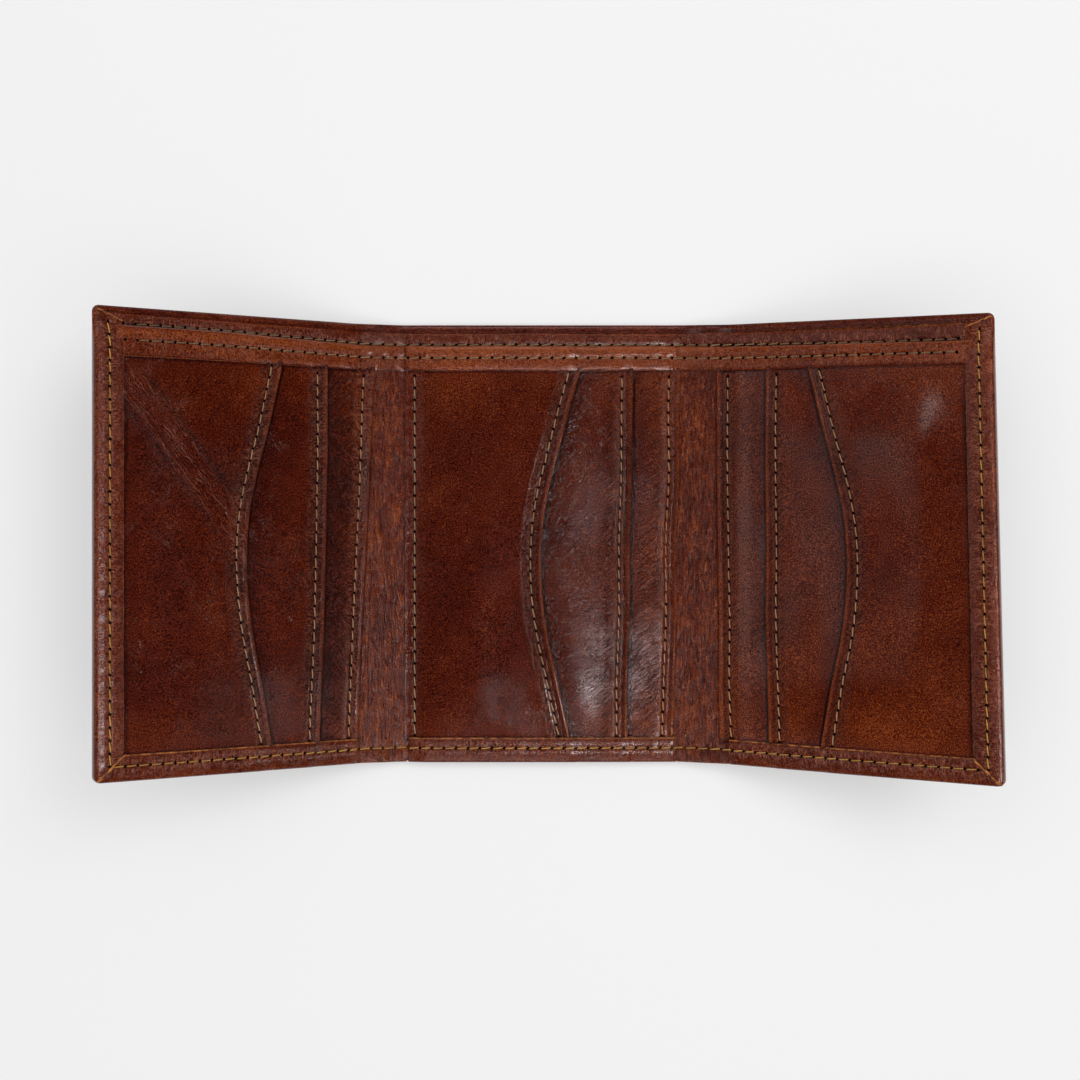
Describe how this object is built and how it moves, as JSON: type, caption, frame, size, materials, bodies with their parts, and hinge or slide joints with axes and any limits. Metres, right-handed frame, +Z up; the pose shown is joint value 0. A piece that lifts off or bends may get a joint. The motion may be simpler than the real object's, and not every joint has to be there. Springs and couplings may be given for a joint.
{
  "type": "trifold wallet",
  "caption": "Leather trifold wallet lying open, with stepped card pockets on every panel, a note compartment behind them and two folds that close it.",
  "frame": {"origin": "middle of the centre panel's outer face, which rests on Z = 0", "axes": "+Z up from the outer face, +X to the right wing, +Y to the mouth of the note compartment"},
  "size_m": [0.2029, 0.106, 0.0406],
  "materials": {
    "shell_leather": "glossy red-brown pull-up leather, darker at the folds",
    "pocket_leather": "glossy mottled red-brown leather, lighter at the turned mouths",
    "trim_leather": "glossy orange-brown leather strip",
    "divider_leather": "glossy red-brown leather",
    "fold_leather": "dark, creased leather with a waxy shine",
    "lining_fabric": "dark brown woven lining",
    "gold_thread": "waxed golden sewing thread",
    "olive_thread": "waxed olive-tan sewing thread"
  },
  "bodies": {
    "centre": {"hem_thread_centre": "gold_thread", "inner_panel_centre": "lining_fabric", "note_divider_centre": "divider_leather", "note_lining_centre": "lining_fabric", "pocket_1_centre": "pocket_leather", "pocket_1_tail_centre": "lining_fabric", "pocket_2_centre": "pocket_leather", "pocket_2_tail_centre": "lining_fabric", "pocket_3_centre": "pocket_leather", "pocket_3_tail_centre": "lining_fabric", "pocket_thread_centre": "olive_thread", "shell_centre": "shell_leather", "top_thread_centre": "olive_thread", "top_trim_centre": "trim_leather"},
    "left_spine": {"hem_thread_left_fold": "gold_thread", "inner_leather_left_fold": "fold_leather", "note_divider_left_fold": "divider_leather", "note_lining_left_fold": "lining_fabric", "shell_left_fold": "shell_leather", "top_thread_left_fold": "olive_thread", "top_trim_left_fold": "trim_leather"},
    "left_wing": {"hem_thread_left_wing": "gold_thread", "inner_panel_left_wing": "lining_fabric", "note_divider_left_wing": "divider_leather", "note_lining_left_wing": "lining_fabric", "pocket_1_left_wing": "pocket_leather", "pocket_1_tail_left_wing": "lining_fabric", "pocket_2_left_wing": "pocket_leather", "pocket_2_tail_left_wing": "lining_fabric", "pocket_3_left_wing": "pocket_leather", "pocket_3_tail_left_wing": "lining_fabric", "pocket_thread_left_wing": "olive_thread", "shell_left_wing": "shell_leather", "top_thread_left_wing": "olive_thread", "top_trim_left_wing": "trim_leather"},
    "right_spine": {"hem_thread_right_fold": "gold_thread", "inner_leather_right_fold": "fold_leather", "note_divider_right_fold": "divider_leather", "note_lining_right_fold": "lining_fabric", "shell_right_fold": "shell_leather", "top_thread_right_fold": "olive_thread", "top_trim_right_fold": "trim_leather"},
    "right_wing": {"hem_thread_right_wing": "gold_thread", "inner_panel_right_wing": "lining_fabric", "note_divider_right_wing": "divider_leather", "note_lining_right_wing": "lining_fabric", "pocket_1_right_wing": "pocket_leather", "pocket_1_tail_right_wing": "lining_fabric", "pocket_2_right_wing": "pocket_leather", "pocket_2_tail_right_wing": "lining_fabric", "pocket_3_right_wing": "pocket_leather", "pocket_3_tail_right_wing": "lining_fabric", "pocket_thread_right_wing": "olive_thread", "shell_right_wing": "shell_leather", "top_thread_right_wing": "olive_thread", "top_trim_right_wing": "trim_leather"}
  },
  "joints": [
    {"name": "left_inner_fold", "type": "hinge", "parent": "centre", "child": "left_spine", "pos_m": [-0.033, 0, 0.003], "axis": [0, 1, 0], "range_deg": [-16, 77.5], "stiffness_Nm_per_rad": 0.05},
    {"name": "left_outer_fold", "type": "hinge", "parent": "left_spine", "child": "left_wing", "pos_m": [-0.04319, 0, 0.00592], "axis": [0, 1, 0], "range_deg": [-16, 77.5], "stiffness_Nm_per_rad": 0.05},
    {"name": "right_inner_fold", "type": "hinge", "parent": "centre", "child": "right_spine", "pos_m": [0.033, 0, 0.003], "axis": [0, -1, 0], "range_deg": [-14, 74], "stiffness_Nm_per_rad": 0.05},
    {"name": "right_outer_fold", "type": "hinge", "parent": "right_spine", "child": "right_wing", "pos_m": [0.04484, 0, 0.00595], "axis": [0, -1, 0], "range_deg": [-14, 74], "stiffness_Nm_per_rad": 0.05}
  ],
  "couplings": [
    {"joint": "left_outer_fold", "follows": "left_inner_fold", "ratio": 1},
    {"joint": "right_outer_fold", "follows": "right_inner_fold", "ratio": 1}
  ]
}
